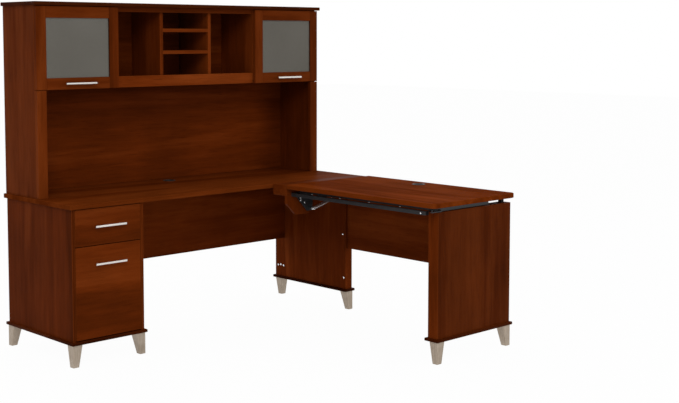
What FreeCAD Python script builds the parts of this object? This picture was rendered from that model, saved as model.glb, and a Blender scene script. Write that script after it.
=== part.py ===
import FreeCAD
import Part
import Sketcher
import math
import os
import re

# Corner desk: a main desk with a drawer pedestal and a hutch, and a return whose
# top lifts on a parallel linkage.  Lengths are in millimetres.
# The floor is Z = 0.  +X runs along the main desk to the right, -Y points to the
# free end of the return.  The origin is at the middle of the outline, on the floor.
# Sizes below are worked in "desk" coordinates, whose zero is the front left corner
# of the main top; put() moves a piece from there to the shared frame.

os.makedirs("parts", exist_ok=True)
doc = FreeCAD.newDocument("corner_desk")

dimensions = {
    # main desk
    "desk_width": 1834,
    "desk_depth": 616,
    "desk_height": 759,
    "top_thick": 22,
    "overhang": 12,
    "edge_ease": 1.2,
    "top_round": 3,
    "board": 18,
    "grommet_bore": 50,
    "grommet_hole": 60,
    "grommet_flange": 68,
    "grommet_lip": 2.5,
    "grommet_play": 0.3,
    "grommet_from_left": 915,
    "grommet_from_back": 124,
    "grommet_round": 1,
    "grommet_short": 1,
    "cut_over": 1,
    "weld": 1,
    # bases and feet
    "foot_height": 104,
    "foot_top": 52,
    "foot_toe": 32,
    "foot_inset": 8,
    "foot_clip": 3,
    "base_thick": 14,
    # pedestal and its drawers
    "pedestal_width": 420,
    "pedestal_wall": 15,
    "stretcher_width": 70,
    "front_gap": 2,
    "front_clear": 4,
    "front_thick": 18,
    "top_front_height": 172,
    "slide_space": 13,
    "slide_length": 500,
    "slide_height": 36,
    "slide_inner_height": 26,
    "slide_play": 0.4,
    "drawer_wall": 12,
    "drawer_floor": 6,
    "drawer_floor_rise": 10,
    "drawer_length": 500,
    "drawer_box_rise": 16,
    "top_box_headroom": 57,
    "file_box_headroom": 145,
    "slide_rise_top": 40,
    "slide_rise_file": 60,
    "slide_setback": 10,
    # handles
    "handle_length": 171,
    "handle_bar": 11,
    "handle_post": 8,
    "handle_centres": 128,
    "handle_reach": 25,
    "handle_round": 1.8,
    "top_handle_drop": 83,
    "file_handle_drop": 84,
    # main leg and modesty panel
    "leg_thick": 50,
    "modesty_setback": 93,
    "modesty_bottom": 348,
    # hutch
    "hutch_height": 1696,
    "hutch_top_thick": 18,
    "hutch_depth": 325,
    "hutch_back_gap": 4,
    "hutch_wall": 19,
    "hutch_stile_width": 51,
    "door_bottom": 1276,
    "door_gap": 3,
    "door_width": 461,
    "door_thick": 18,
    "door_stile": 54,
    "door_rail": 56,
    "door_back_gap": 2,
    "partition_overlap": 3,
    "cubby_rail_bottom": 56,
    "cubby_rail_top": 25,
    "divider_left": 752,
    "divider_span": 292,
    "shelf_lower": 1440,
    "shelf_upper": 1553,
    "cabinet_shelf": 1478,
    "shelf_setback": 40,
    "glass_thick": 4,
    "glass_rebate": 8,
    "glass_lip": 7,
    "glass_play": 1,
    "glass_ease": 0.5,
    # door hinges
    "cup_bore": 35,
    "cup_depth": 11,
    "cup_play": 0.2,
    "cup_from_edge": 22.5,
    "cup_from_bottom": 90,
    "cup_from_top": 55,
    "hinge_plate_length": 50,
    "hinge_plate_height": 44,
    "hinge_plate_thick": 8,
    "hinge_arm_width": 14,
    "hinge_arm_length": 20,
    "hinge_arm_thick": 6,
    "hinge_arm_inset": 7.5,
    "hinge_arm_rise": 12,
    "hinge_plate_setback": 6,
    "hinge_play": 0.4,
    # return
    "return_reach": 1122,
    "return_width": 608,
    "lift_top_stand": 4,
    "lift_top_thick": 23,
    "block_depth": 104,
    "block_thick": 56,
    "lift_gap": 2,
    "lift_corner": 30,
    "cleat_width": 40,
    "cleat_inset": 60,
    "gusset_width": 156,
    "gusset_height": 103,
    "gusset_cut_wide": 63,
    "gusset_cut_high": 62,
    "gusset_inset": 4,
    "return_modesty_inset": 30,
    "end_leg_thick": 60,
    "end_leg_drop": 44,
    "end_leg_from_side": 58,
    "end_leg_inset": 25,
    "return_grommet_from_side": 98,
    "return_grommet_from_end": 557,
    # lift mechanism
    "arm_length": 300,
    "arm_tilt": 3,
    "arm_width": 16,
    "arm_boss": 20,
    "arm_thick": 5,
    "arm_gap": 2,
    "plate_thick": 5,
    "pivot_from_side": 166,
    "pivot_drop": 79,
    "pivot_spread": 92,
    "pivot_rise": 26,
    "pin_diameter": 10,
    "pin_play": 0.1,
    "open_pin_play": 0.6,
    "tube_diameter": 18,
    "tube_from_end": 38,
    "rail_width": 16,
    "rail_height": 18,
    "rail_drop": 60,
    "rail_from_side": 36,
    "plate_margin": 16,
    "plate_nose": 10,
    "plate_head": 12,
    "pin_stand_out": 1,
    "frame_bar": 25,
    "frame_bar_high": 22,
    "frame_inner_from_side": 74,
    "frame_outer_from_side": 414,
    "hanger_drop": 12,
    "hanger_lap": 18,
    "hanger_end": 14,
    "hanger_neck": 16,
    "hanger_waist": 8,
    "spring_foot_drop": 50,
    "spring_foot_back": 8,
    "spring_from_end": 70,
    "spring_pin": 8,
    "spring_tube": 16,
    "spring_tube_bore": 12.6,
    "spring_tube_length": 135,
    "spring_rod": 6,
    "spring_rod_length": 225,
    "spring_eye": 18,
    "spring_eye_thick": 10,
    "spring_gap": 2,
    "spring_neck": 6,
    "spring_pin_end": 3,
    "lever_length": 68,
    "lever_width": 14,
    "lever_thick": 5,
    "lever_from_side": 10,
    "lever_drop": 21,
    "lever_pin": 5,
    "lever_boss": 11,
    "lever_round": 1.6,
    "lever_cheek": 4,
    "lever_cheek_drop": 6,
    "lever_pin_end": 2,
    "pad_size": 20,
    "pad_length": 40,
    "pad_setback": 80,
    "pad_from_side": 40,
    "pad_gap": 0.3,
}

sheet = doc.addObject("Spreadsheet::Sheet", "Dims")
for row, (alias, number) in enumerate(dimensions.items(), start=1):
    sheet.set(f"A{row}", alias)
    sheet.set(f"B{row}", str(number))
    sheet.setAlias(f"B{row}", alias)
doc.recompute()

# Places that follow from the dimensions, as formulas of them.
places = {
    "shift_x": "desk_width / 2",
    "shift_y": "(desk_depth - return_reach) / 2",
    "top_under": "desk_height - top_thick",
    "base_top": "foot_height + base_thick",
    "desk_wall_height": "top_under - base_top",
    "wall_depth": "desk_depth - 2 * overhang",
    "wall_back": "desk_depth - overhang",
    "wall_right": "desk_width - overhang",
    # pedestal
    "bay_left": "overhang + pedestal_wall",
    "bay_right": "pedestal_width - overhang - pedestal_wall",
    "bay_width": "bay_right - bay_left",
    "front_back": "overhang + front_thick",
    "front_width": "bay_width - 2 * front_gap",
    "file_front_low": "base_top + front_clear",
    "top_front_low": "top_under - front_clear - top_front_height",
    "file_front_height": "top_front_low - front_clear - file_front_low",
    "top_box_height": "top_front_height - top_box_headroom",
    "file_box_height": "file_front_height - file_box_headroom",
    "box_left": "bay_left + slide_space",
    "box_width": "bay_width - 2 * slide_space",
    "slide_start": "front_back + slide_setback",
    # leg
    "leg_left": "wall_right - leg_thick",
    "modesty_front": "desk_depth - modesty_setback",
    # hutch
    "hutch_under": "hutch_height - hutch_top_thick",
    "hutch_rear": "desk_depth - hutch_back_gap",
    "hutch_front": "hutch_rear - hutch_depth",
    "door_front": "hutch_front + overhang",
    "door_back": "door_front + door_thick",
    "case_front": "door_back + door_back_gap",
    "case_back": "hutch_rear - board",
    "case_left": "overhang + hutch_wall",
    "case_right": "desk_width - overhang - hutch_wall",
    "floor_top": "door_bottom + board",
    "case_height": "hutch_under - floor_top",
    "door_height": "hutch_under - door_gap - door_bottom",
    "door_left_edge": "overhang",
    "door_right_edge": "wall_right - door_width",
    "centre_left": "overhang + door_width + partition_overlap",
    "centre_right": "desk_width - centre_left",
    "rail_back": "case_front + board",
    "divider_right": "divider_left + hutch_wall + divider_span",
    "glass_opening_width": "door_width - 2 * door_stile",
    "glass_opening_height": "door_height - 2 * door_rail",
    # return
    "return_left": "desk_width - return_width",
    "block_under": "desk_height - block_thick",
    "block_face": "-block_depth",
    "lift_top_height": "desk_height + lift_top_stand",
    "lift_under": "lift_top_height - lift_top_thick",
    "lift_rear": "-block_depth - lift_gap",
    "end_leg_height": "desk_height - end_leg_drop",
    "end_leg_left": "return_left + end_leg_from_side",
    "end_leg_front": "-return_reach + end_leg_inset",
    "end_leg_back": "end_leg_front + end_leg_thick",
    "return_modesty_right": "desk_width - return_modesty_inset",
    # linkage: pivot one carries the driven arms, pivot two the idle arms
    "one_x": "return_left + pivot_from_side",
    "one_z": "desk_height - pivot_drop",
    "two_x": "one_x - pivot_spread",
    "two_z": "one_z + pivot_rise",
    "rail_bottom": "desk_height - rail_drop",
    "tube_seat": "arm_length - tube_from_end",
    "spring_seat": "arm_length - spring_from_end",
    "reach_x": "arm_length * cos(arm_tilt * 1deg)",
    "reach_z": "arm_length * sin(arm_tilt * 1deg)",
    "spring_x": "one_x - spring_foot_back",
    "spring_z": "one_z - spring_foot_drop",
    "tube_x": "one_x + tube_seat * cos(arm_tilt * 1deg)",
    "tube_z": "one_z + tube_seat * sin(arm_tilt * 1deg)",
    "seat_x": "one_x + spring_seat * cos(arm_tilt * 1deg)",
    "seat_z": "one_z + spring_seat * sin(arm_tilt * 1deg)",
    "lever_x": "return_left + lever_from_side + lever_length - lever_boss / 2",
    "lever_z": "lift_under - lever_drop + lever_boss / 2",
    "idle_off": "plate_thick + arm_gap",
    "driven_off": "idle_off + arm_thick + arm_gap",
    "hanger_off": "driven_off + arm_thick + arm_gap",
    "spring_off": "hanger_off + plate_thick + spring_gap + spring_tube / 2",
}

name_pattern = re.compile(r"[a-z_]{3,}")


def full(text):
    # writes a formula of places and dimensions as one over the sheet's cells
    def swap(found):
        word = found.group(0)
        if word in places:
            return "(" + full(places[word]) + ")"
        if word in dimensions:
            return "Dims." + word
        return word

    return name_pattern.sub(swap, str(text))


def bind(thing, prop, text):
    thing.setExpression(prop, full(text))


def put(thing, x, y, z):
    # desk coordinates to the shared frame
    bind(thing, "Placement.Base.x", f"{x} - shift_x")
    bind(thing, "Placement.Base.y", f"{y} - shift_y")
    bind(thing, "Placement.Base.z", z)


def new_body(label):
    body = doc.addObject("PartDesign::Body", label)
    body.Label = label
    return body


def plane_of(body, role):
    return next(item for item in body.Origin.OriginFeatures if item.Role == role)


def new_sketch(body, role, lift=None):
    sketch = body.newObject("Sketcher::SketchObject", body.Name + "_sketch")
    sketch.AttachmentSupport = [(plane_of(body, role), "")]
    sketch.MapMode = "FlatFace"
    if lift is not None:
        bind(sketch, "AttachmentOffset.Base.z", lift)
    return sketch


def fix_point(sketch, geometry, end, u, v):
    for kind, text in (("DistanceX", u), ("DistanceY", v)):
        number = sketch.addConstraint(Sketcher.Constraint(kind, -1, 1, geometry, end, 1.0))
        bind(sketch, f"Constraints[{number}]", text)


def draw_outline(sketch, points):
    # a closed outline of straight lines, every corner held at its place
    count = len(points)
    turns = [2 * math.pi * k / count for k in range(count)]
    seeds = [FreeCAD.Vector(math.cos(turn), math.sin(turn), 0) for turn in turns]
    for k in range(count):
        sketch.addGeometry(Part.LineSegment(seeds[k], seeds[(k + 1) % count]), False)
    for k in range(count):
        sketch.addConstraint(Sketcher.Constraint("Coincident", k, 2, (k + 1) % count, 1))
    for k, (u, v) in enumerate(points):
        fix_point(sketch, k, 1, u, v)


def pad(body, sketch, length):
    feature = body.newObject("PartDesign::Pad", body.Name + "_pad")
    feature.Profile = sketch
    bind(feature, "Length", length)
    return feature


def slab(body, role, points, thick, lift=None):
    # a flat piece cut to an outline; on XZ_Plane both lift and thick run to -Y
    sketch = new_sketch(body, role, lift)
    draw_outline(sketch, points)
    return pad(body, sketch, thick)


def round_edges(body, base, radius, wanted=None):
    doc.recompute()
    names = [f"Edge{k}" for k, edge in enumerate(base.Shape.Edges, start=1)
             if wanted is None or wanted(edge)]
    feature = body.newObject("PartDesign::Fillet", body.Name + "_round")
    feature.Base = (base, names)
    bind(feature, "Radius", radius)
    return feature


def upright(edge):
    box = edge.BoundBox
    return box.XLength < 1e-6 and box.YLength < 1e-6


def level(edge):
    return edge.BoundBox.ZLength < 1e-6


TURN_TO_MINUS_Y = FreeCAD.Rotation(FreeCAD.Vector(1, 0, 0), 90)
TURN_TO_PLUS_Y = FreeCAD.Rotation(FreeCAD.Vector(1, 0, 0), -90)
TURN_TO_PLUS_X = FreeCAD.Rotation(FreeCAD.Vector(0, 1, 0), 90)
TURN_TO_MINUS_X = FreeCAD.Rotation(FreeCAD.Vector(0, 1, 0), -90)


def seat(feature, x, y, z, turn=None):
    if turn is not None:
        feature.Placement.Rotation = turn
    bind(feature, "Placement.Base.x", x)
    bind(feature, "Placement.Base.y", y)
    bind(feature, "Placement.Base.z", z)


def box_feature(body, kind, size, corner):
    feature = body.newObject(f"PartDesign::{kind}Box", body.Name + "_block")
    for prop, text in zip(("Length", "Width", "Height"), size):
        bind(feature, prop, text)
    seat(feature, *corner)
    return feature


def rod_feature(body, kind, diameter, length, start, turn=None):
    feature = body.newObject(f"PartDesign::{kind}Cylinder", body.Name + "_round_bar")
    bind(feature, "Radius", f"({diameter}) / 2")
    bind(feature, "Height", length)
    seat(feature, *start, turn)
    return feature


def panel(label, size, corner, ease="edge_ease"):
    # a board with its edges eased, one corner at its place
    width, depth, height = size
    body = new_body(label)
    square = [("0", "0"), (width, "0"), (width, depth), ("0", depth)]
    base = slab(body, "XY_Plane", square, height)
    round_edges(body, base, ease)
    put(body, *corner)
    return body


subparts = []


def keep(piece):
    subparts.append(piece)
    return piece


def group(label, members):
    # several like pieces in one sub-part, each still a solid of its own
    bundle = doc.addObject("Part::Compound", label)
    bundle.Label = label
    bundle.Links = members
    return keep(bundle)


def board(label, size, corner, ease="edge_ease"):
    return keep(panel(label, size, corner, ease))


# ---- main desk -----------------------------------------------------------------

def make_grommet(label, x, y, top, thick):
    body = new_body(label)
    flange = rod_feature(body, "Additive", "grommet_flange", "grommet_lip", ("0", "0", "0"))
    round_edges(body, flange, "grommet_round", lambda e: level(e) and e.BoundBox.ZMax > 1)
    sleeve = "grommet_hole - 2 * grommet_play"
    rod_feature(body, "Additive", sleeve, f"{thick} - grommet_short",
                ("0", "0", f"grommet_short - {thick}"))
    rod_feature(body, "Subtractive", "grommet_bore", f"{thick} + grommet_lip + 2 * cut_over",
                ("0", "0", f"-cut_over - {thick}"))
    put(body, x, y, top)
    return keep(body)


def make_main_top():
    top = board("desktop_main", ("desk_width", "desk_depth", "top_thick"),
                ("0", "0", "top_under"), "top_round")
    rod_feature(top, "Subtractive", "grommet_hole", "top_thick + 2 * cut_over",
                ("grommet_from_left", "desk_depth - grommet_from_back", "-cut_over"))
    make_grommet("grommet_main", "grommet_from_left", "desk_depth - grommet_from_back",
                 "desk_height", "top_thick")


def clipped_square(side, clip):
    # a square with its lower left corner at zero and its corners cut off
    low, high = clip, f"{side} - {clip}"
    return [(low, "0"), (high, "0"), (side, low), (side, high),
            (high, side), (low, side), ("0", high), ("0", low)]


def make_foot(label, x, y, turn):
    # square foot; its two outer faces are upright, the inner two taper to the toe
    body = new_body(label)
    rings = []
    for side, lift in (("foot_toe", "0"), ("foot_top", "foot_height")):
        sketch = new_sketch(body, "XY_Plane", lift)
        draw_outline(sketch, clipped_square(side, "foot_clip"))
        rings.append(sketch)
    loft = body.newObject("PartDesign::AdditiveLoft", body.Name + "_loft")
    loft.Profile = rings[0]
    loft.Sections = [rings[1]]
    loft.Ruled = True
    body.Placement.Rotation = FreeCAD.Rotation(FreeCAD.Vector(0, 0, 1), turn)
    put(body, x, y, "0")
    return body


def make_feet():
    left, right = "foot_inset", "pedestal_width - foot_inset"
    front, back = "foot_inset", "desk_depth - foot_inset"
    outer = "desk_width - foot_inset"
    near = "end_leg_front - overhang + foot_inset"
    near_left = "end_leg_left - overhang + foot_inset"
    group("pedestal_feet", [
        make_foot("pedestal_foot_front_left", left, front, 0),
        make_foot("pedestal_foot_front_right", right, front, 90),
        make_foot("pedestal_foot_back_right", right, back, 180),
        make_foot("pedestal_foot_back_left", left, back, 270)])
    group("leg_feet", [
        make_foot("leg_foot_front", outer, front, 90),
        make_foot("leg_foot_back", outer, back, 180),
        make_foot("leg_foot_near_left", near_left, near, 0),
        make_foot("leg_foot_near_right", outer, near, 90)])


def make_pedestal():
    wall = ("pedestal_wall", "wall_depth", "desk_wall_height")
    board("pedestal_side_left", wall, ("overhang", "overhang", "base_top"))
    board("pedestal_side_right", wall, ("bay_right", "overhang", "base_top"))
    board("pedestal_back", ("bay_width", "pedestal_wall", "desk_wall_height"),
          ("bay_left", "wall_back - pedestal_wall", "base_top"))
    board("pedestal_stretcher", ("bay_width", "stretcher_width", "pedestal_wall"),
          ("bay_left", "slide_start", "top_under - pedestal_wall"))
    board("pedestal_base", ("pedestal_width", "desk_depth", "base_thick"),
          ("0", "0", "foot_height"), "top_round")


def make_main_leg():
    board("leg_main", ("leg_thick", "wall_depth", "desk_wall_height"),
          ("leg_left", "overhang", "base_top"))
    board("leg_main_base", ("leg_thick + 2 * overhang", "desk_depth", "base_thick"),
          ("leg_left - overhang", "0", "foot_height"), "top_round")
    board("modesty_main",
          ("leg_left - bay_right - pedestal_wall", "board", "top_under - modesty_bottom"),
          ("bay_right + pedestal_wall", "modesty_front", "modesty_bottom"))


# ---- drawers -------------------------------------------------------------------

def make_handle(label, x, front, z):
    # round bar on two posts, standing off the front it is screwed to
    body = new_body(label)
    bar = rod_feature(body, "Additive", "handle_bar", "handle_length",
                      ("-handle_length / 2", "0", "0"), TURN_TO_PLUS_X)
    round_edges(body, bar, "handle_round", lambda e: e.BoundBox.XLength < 1e-6)
    for side in ("-", ""):
        rod_feature(body, "Additive", "handle_post", "handle_reach",
                    (f"{side}handle_centres / 2", "0", "0"), TURN_TO_PLUS_Y)
    put(body, x, f"{front} - handle_reach", z)
    return keep(body)


def slide_bars(name, thick, height, left, right, centre):
    size = (thick, "slide_length", height)
    low = f"{centre} - ({height}) / 2"
    return [panel(name + "_left", size, (left, "slide_start", low), "edge_ease"),
            panel(name + "_right", size, (right, "slide_start", low), "edge_ease")]


def make_drawer(name, front_low, front_height, box_height, slide_rise, handle_drop):
    board(name + "_front", ("front_width", "front_thick", front_height),
          ("bay_left + front_gap", "overhang", front_low))
    box_low = f"{front_low} + drawer_box_rise"
    side = ("drawer_wall", "drawer_length", box_height)
    inner = "box_width - 2 * drawer_wall"
    floor_top = f"{box_low} + drawer_floor_rise + drawer_floor"
    group(name + "_box", [
        panel(name + "_box_left", side, ("box_left", "front_back", box_low)),
        panel(name + "_box_right", side,
              ("box_left + box_width - drawer_wall", "front_back", box_low)),
        panel(name + "_box_back",
              (inner, "drawer_wall", f"{box_height} - drawer_floor_rise - drawer_floor"),
              ("box_left + drawer_wall", "front_back + drawer_length - drawer_wall", floor_top))])
    board(name + "_bottom", (inner, "drawer_length", "drawer_floor"),
          ("box_left + drawer_wall", "front_back", f"{box_low} + drawer_floor_rise"))
    make_handle(name + "_handle", "bay_left + bay_width / 2", "overhang",
                f"{front_low} + {front_height} - {handle_drop}")
    centre = f"{box_low} + {slide_rise}"
    thick = "slide_space / 2 - slide_play / 2"
    group(name + "_slides",
          slide_bars(name + "_slide", thick, "slide_inner_height",
                     f"box_left - ({thick})", "box_left + box_width", centre))
    return slide_bars(name + "_rail", thick, "slide_height",
                      "bay_left", f"bay_right - ({thick})", centre)


def make_drawers():
    rails = make_drawer("drawer_top", "top_front_low", "top_front_height",
                        "top_box_height", "slide_rise_top", "top_handle_drop")
    rails += make_drawer("drawer_file", "file_front_low", "file_front_height",
                         "file_box_height", "slide_rise_file", "file_handle_drop")
    group("drawer_rails", rails)


# ---- hutch ---------------------------------------------------------------------

def make_hutch():
    board("hutch_top", ("desk_width", "hutch_depth", "hutch_top_thick"),
          ("0", "hutch_front", "hutch_under"), "top_round")
    side = ("hutch_wall", "hutch_rear - case_front", "hutch_under - desk_height")
    board("hutch_side_left", side, ("overhang", "case_front", "desk_height"))
    board("hutch_side_right", side, ("case_right", "case_front", "desk_height"))
    board("hutch_back", ("case_right - case_left", "board", "hutch_under - desk_height"),
          ("case_left", "case_back", "desk_height"))
    stile = ("hutch_stile_width", "case_front - door_front",
             "door_bottom - door_gap - desk_height")
    group("hutch_stiles", [
        panel("hutch_stile_left", stile, ("overhang", "door_front", "desk_height")),
        panel("hutch_stile_right", stile,
              ("wall_right - hutch_stile_width", "door_front", "desk_height"))])
    floor = new_body("hutch_floor")
    notch = [("case_left", "case_front"), ("centre_left", "case_front"),
             ("centre_left", "rail_back"), ("centre_right", "rail_back"),
             ("centre_right", "case_front"), ("case_right", "case_front"),
             ("case_right", "case_back"), ("case_left", "case_back")]
    base = slab(floor, "XY_Plane", notch, "board")
    round_edges(floor, base, "edge_ease", level)
    put(floor, "0", "0", "door_bottom")
    keep(floor)
    wall = ("hutch_wall", "case_back - case_front", "case_height")
    group("hutch_partitions", [
        panel("hutch_partition_left", wall,
              ("centre_left - hutch_wall", "case_front", "floor_top")),
        panel("hutch_partition_right", wall, ("centre_right", "case_front", "floor_top"))])
    rail = "centre_right - centre_left"
    board("hutch_rail_bottom", (rail, "board", "cubby_rail_bottom"),
          ("centre_left", "case_front", "door_bottom"))
    board("hutch_rail_top", (rail, "board", "cubby_rail_top"),
          ("centre_left", "case_front", "hutch_under - cubby_rail_top"))


def make_shelves():
    wall = ("hutch_wall", "case_back - rail_back", "case_height")
    group("cubby_dividers", [
        panel("cubby_divider_left", wall, ("divider_left", "rail_back", "floor_top")),
        panel("cubby_divider_right", wall, ("divider_right", "rail_back", "floor_top"))])
    short = ("divider_span", "case_back - rail_back", "board")
    start = "divider_left + hutch_wall"
    group("cubby_shelves", [
        panel("cubby_shelf_lower", short, (start, "rail_back", "shelf_lower")),
        panel("cubby_shelf_upper", short, (start, "rail_back", "shelf_upper"))])
    wide = ("centre_left - hutch_wall - case_left",
            "case_back - case_front - shelf_setback", "board")
    front = "case_front + shelf_setback"
    group("cabinet_shelves", [
        panel("cabinet_shelf_left", wide, ("case_left", front, "cabinet_shelf")),
        panel("cabinet_shelf_right", wide,
              ("centre_right + hutch_wall", front, "cabinet_shelf"))])


def door_member(label, size, corner, rebate_size, rebate_corner):
    # one stile or rail, with the step that the glass lies in cut from its back
    body = panel(label, size, corner)
    box_feature(body, "Subtractive", rebate_size, rebate_corner)
    return body


def make_door(name, left_edge, hinge_on_left):
    lip_depth = "door_thick - glass_lip + cut_over"
    stile = ("door_stile", "door_thick", "door_height")
    step_tall = ("glass_rebate + cut_over", lip_depth,
                 "glass_opening_height + 2 * glass_rebate")
    low = "door_rail - glass_rebate"
    rail = ("glass_opening_width", "door_thick", "door_rail")
    step_wide = ("glass_opening_width + 2 * cut_over", lip_depth,
                 "glass_rebate + cut_over")
    inner = f"{left_edge} + door_stile"
    left = door_member(name + "_stile_left", stile, (left_edge, "door_front", "door_bottom"),
                       step_tall, ("door_stile - glass_rebate", "glass_lip", low))
    right = door_member(name + "_stile_right", stile,
                        (f"{left_edge} + door_width - door_stile", "door_front", "door_bottom"),
                        step_tall, ("-cut_over", "glass_lip", low))
    bottom = door_member(name + "_rail_bottom", rail, (inner, "door_front", "door_bottom"),
                         step_wide, ("-cut_over", "glass_lip", low))
    top = door_member(name + "_rail_top", rail,
                      (inner, "door_front", "door_bottom + door_height - door_rail"),
                      step_wide, ("-cut_over", "glass_lip", "-cut_over"))
    hung = left if hinge_on_left else right
    cup_x = "cup_from_edge" if hinge_on_left else "door_stile - cup_from_edge"
    for height in ("cup_from_bottom", "door_height - cup_from_top"):
        rod_feature(hung, "Subtractive", "cup_bore", "cup_depth + cut_over",
                    (cup_x, "door_thick + cut_over", height), TURN_TO_MINUS_Y)
    group(name + "_frame", [left, right, bottom, top])
    board(name + "_glass",
          ("glass_opening_width + 2 * glass_rebate - 2 * glass_play", "glass_thick",
           "glass_opening_height + 2 * glass_rebate - 2 * glass_play"),
          (f"{inner} - glass_rebate + glass_play", "door_front + glass_lip",
           "door_bottom + door_rail - glass_rebate + glass_play"), "glass_ease")
    make_handle(name + "_handle", f"{left_edge} + door_width / 2", "door_front",
                "door_bottom + door_rail / 2")
    make_cups(name, left_edge, hinge_on_left)


def make_cups(name, left_edge, hinge_on_left):
    # door half of each concealed hinge: a cup let into the stile and its arm
    cups = []
    if hinge_on_left:
        cup_x = f"{left_edge} + cup_from_edge"
        arm_left = "hinge_arm_inset"
    else:
        cup_x = f"{left_edge} + door_width - cup_from_edge"
        arm_left = "-hinge_arm_inset - hinge_arm_thick"
    for end, height in (("low", "cup_from_bottom"), ("high", "door_height - cup_from_top")):
        body = new_body(f"{name}_hinge_{end}")
        rod_feature(body, "Additive", "cup_bore - 2 * cup_play", "cup_depth - cup_play",
                    ("0", "0", "0"), TURN_TO_MINUS_Y)
        box_feature(body, "Additive",
                    ("hinge_arm_thick", "cup_depth / 2 + hinge_arm_length", "hinge_arm_width"),
                    (arm_left, "-cup_depth / 2", "-hinge_arm_width / 2"))
        put(body, cup_x, "door_back", f"door_bottom + {height}")
        cups.append(body)
    group(name + "_hinges", cups)


def make_hinge_plates():
    # cabinet half of each hinge: a base plate on the side and the arm it carries
    plates = []
    start = "door_back + hinge_arm_length + hinge_play"
    for side in ("left", "right"):
        for end, height in (("low", "cup_from_bottom"), ("high", "door_height - cup_from_top")):
            body = new_body(f"hinge_plate_{side}_{end}")
            plate_x = "0" if side == "left" else "-hinge_plate_thick"
            arm_x = "hinge_plate_thick - weld"
            if side == "right":
                arm_x = "weld - hinge_plate_thick - hinge_arm_rise"
            box_feature(body, "Additive",
                        ("hinge_plate_thick", "hinge_plate_length", "hinge_plate_height"),
                        (plate_x, "hinge_plate_setback", "-hinge_plate_height / 2"))
            box_feature(body, "Additive",
                        ("hinge_arm_rise", "hinge_plate_length", "hinge_arm_width"),
                        (arm_x, "0", "-hinge_arm_width / 2"))
            put(body, "case_left" if side == "left" else "case_right", start,
                f"door_bottom + {height}")
            plates.append(body)
    group("hinge_plates", plates)


# ---- return --------------------------------------------------------------------

def make_return():
    board("joint_block", ("return_width", "block_depth", "block_thick"),
          ("return_left", "block_face", "block_under"), "top_round")
    board("joint_cleat",
          ("leg_left - return_left - 2 * cleat_inset", "cleat_width", "block_thick - top_thick"),
          ("return_left + cleat_inset", "0", "block_under"))
    gusset = new_body("gusset")
    cut = [("gusset_cut_wide", "0"), ("gusset_width", "0"), ("gusset_width", "gusset_height"),
           ("0", "gusset_height"), ("0", "gusset_cut_high")]
    base = slab(gusset, "XZ_Plane", cut, "board")
    round_edges(gusset, base, "edge_ease")
    put(gusset, "return_left + gusset_inset", "board - block_depth",
        "block_under - gusset_height")
    keep(gusset)
    board("modesty_return",
          ("board", "overhang - end_leg_back", "block_under - modesty_bottom"),
          ("return_modesty_right - board", "end_leg_back", "modesty_bottom"))
    board("leg_return",
          ("wall_right - end_leg_left", "end_leg_thick", "end_leg_height - base_top"),
          ("end_leg_left", "end_leg_front", "base_top"))
    board("leg_return_base",
          ("desk_width - end_leg_left + overhang", "end_leg_thick + 2 * overhang", "base_thick"),
          ("end_leg_left - overhang", "end_leg_front - overhang", "foot_height"), "top_round")


def make_lift_top():
    top = new_body("lift_top")
    depth = "return_reach + lift_rear"
    square = [("0", "0"), ("return_width", "0"), ("return_width", depth), ("0", depth)]
    base = slab(top, "XY_Plane", square, "lift_top_thick")
    doc.recompute()
    middle = base.Shape.BoundBox.Center.y
    corners = round_edges(top, base, "lift_corner",
                          lambda e: upright(e) and e.BoundBox.YMax < middle)
    round_edges(top, corners, "top_round", level)
    x = "return_width - return_grommet_from_side"
    rod_feature(top, "Subtractive", "grommet_hole", "lift_top_thick + 2 * cut_over",
                (x, "return_grommet_from_end", "-cut_over"))
    put(top, "return_left", "-return_reach", "lift_under")
    keep(top)
    make_grommet("grommet_return", f"return_left + {x}",
                 "return_grommet_from_end - return_reach", "lift_top_height", "lift_top_thick")


# ---- lift mechanism ------------------------------------------------------------

def both_ends(offset, thick):
    # where a layer starts, measured towards -Y, at the rear and at the near end
    return [f"block_depth + {offset}", f"-end_leg_back - ({offset}) - ({thick})"]


def bar_outline(x, z, length):
    # the four corners of a tilted bar of arm_width whose middle line starts at (x, z)
    along = (f"({length}) * cos(arm_tilt * 1deg)", f"({length}) * sin(arm_tilt * 1deg)")
    aside = ("arm_width / 2 * sin(arm_tilt * 1deg)", "arm_width / 2 * cos(arm_tilt * 1deg)")
    return [(f"{x} + {aside[0]}", f"{z} - {aside[1]}"),
            (f"{x} + {along[0]} + {aside[0]}", f"{z} + {along[1]} - {aside[1]}"),
            (f"{x} + {along[0]} - {aside[0]}", f"{z} + {along[1]} + {aside[1]}"),
            (f"{x} - {aside[0]}", f"{z} + {aside[1]}")]


def cross_pin(body, kind, diameter, x, z, start, length):
    return rod_feature(body, kind, diameter, length, (x, f"-({start})", z), TURN_TO_MINUS_Y)


def add_arm(body, x, z, start, top_bore):
    slab(body, "XZ_Plane", bar_outline(x, z, "arm_length"), "arm_thick", start)
    tip = (f"{x} + reach_x", f"{z} + reach_z")
    for at in ((x, z), tip):
        cross_pin(body, "Additive", "arm_boss", *at, start, "arm_thick")
    for at, bore in (((x, z), "pin_diameter + pin_play"), (tip, top_bore)):
        cross_pin(body, "Subtractive", bore, *at, f"{start} - cut_over",
                  "arm_thick + 2 * cut_over")


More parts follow.
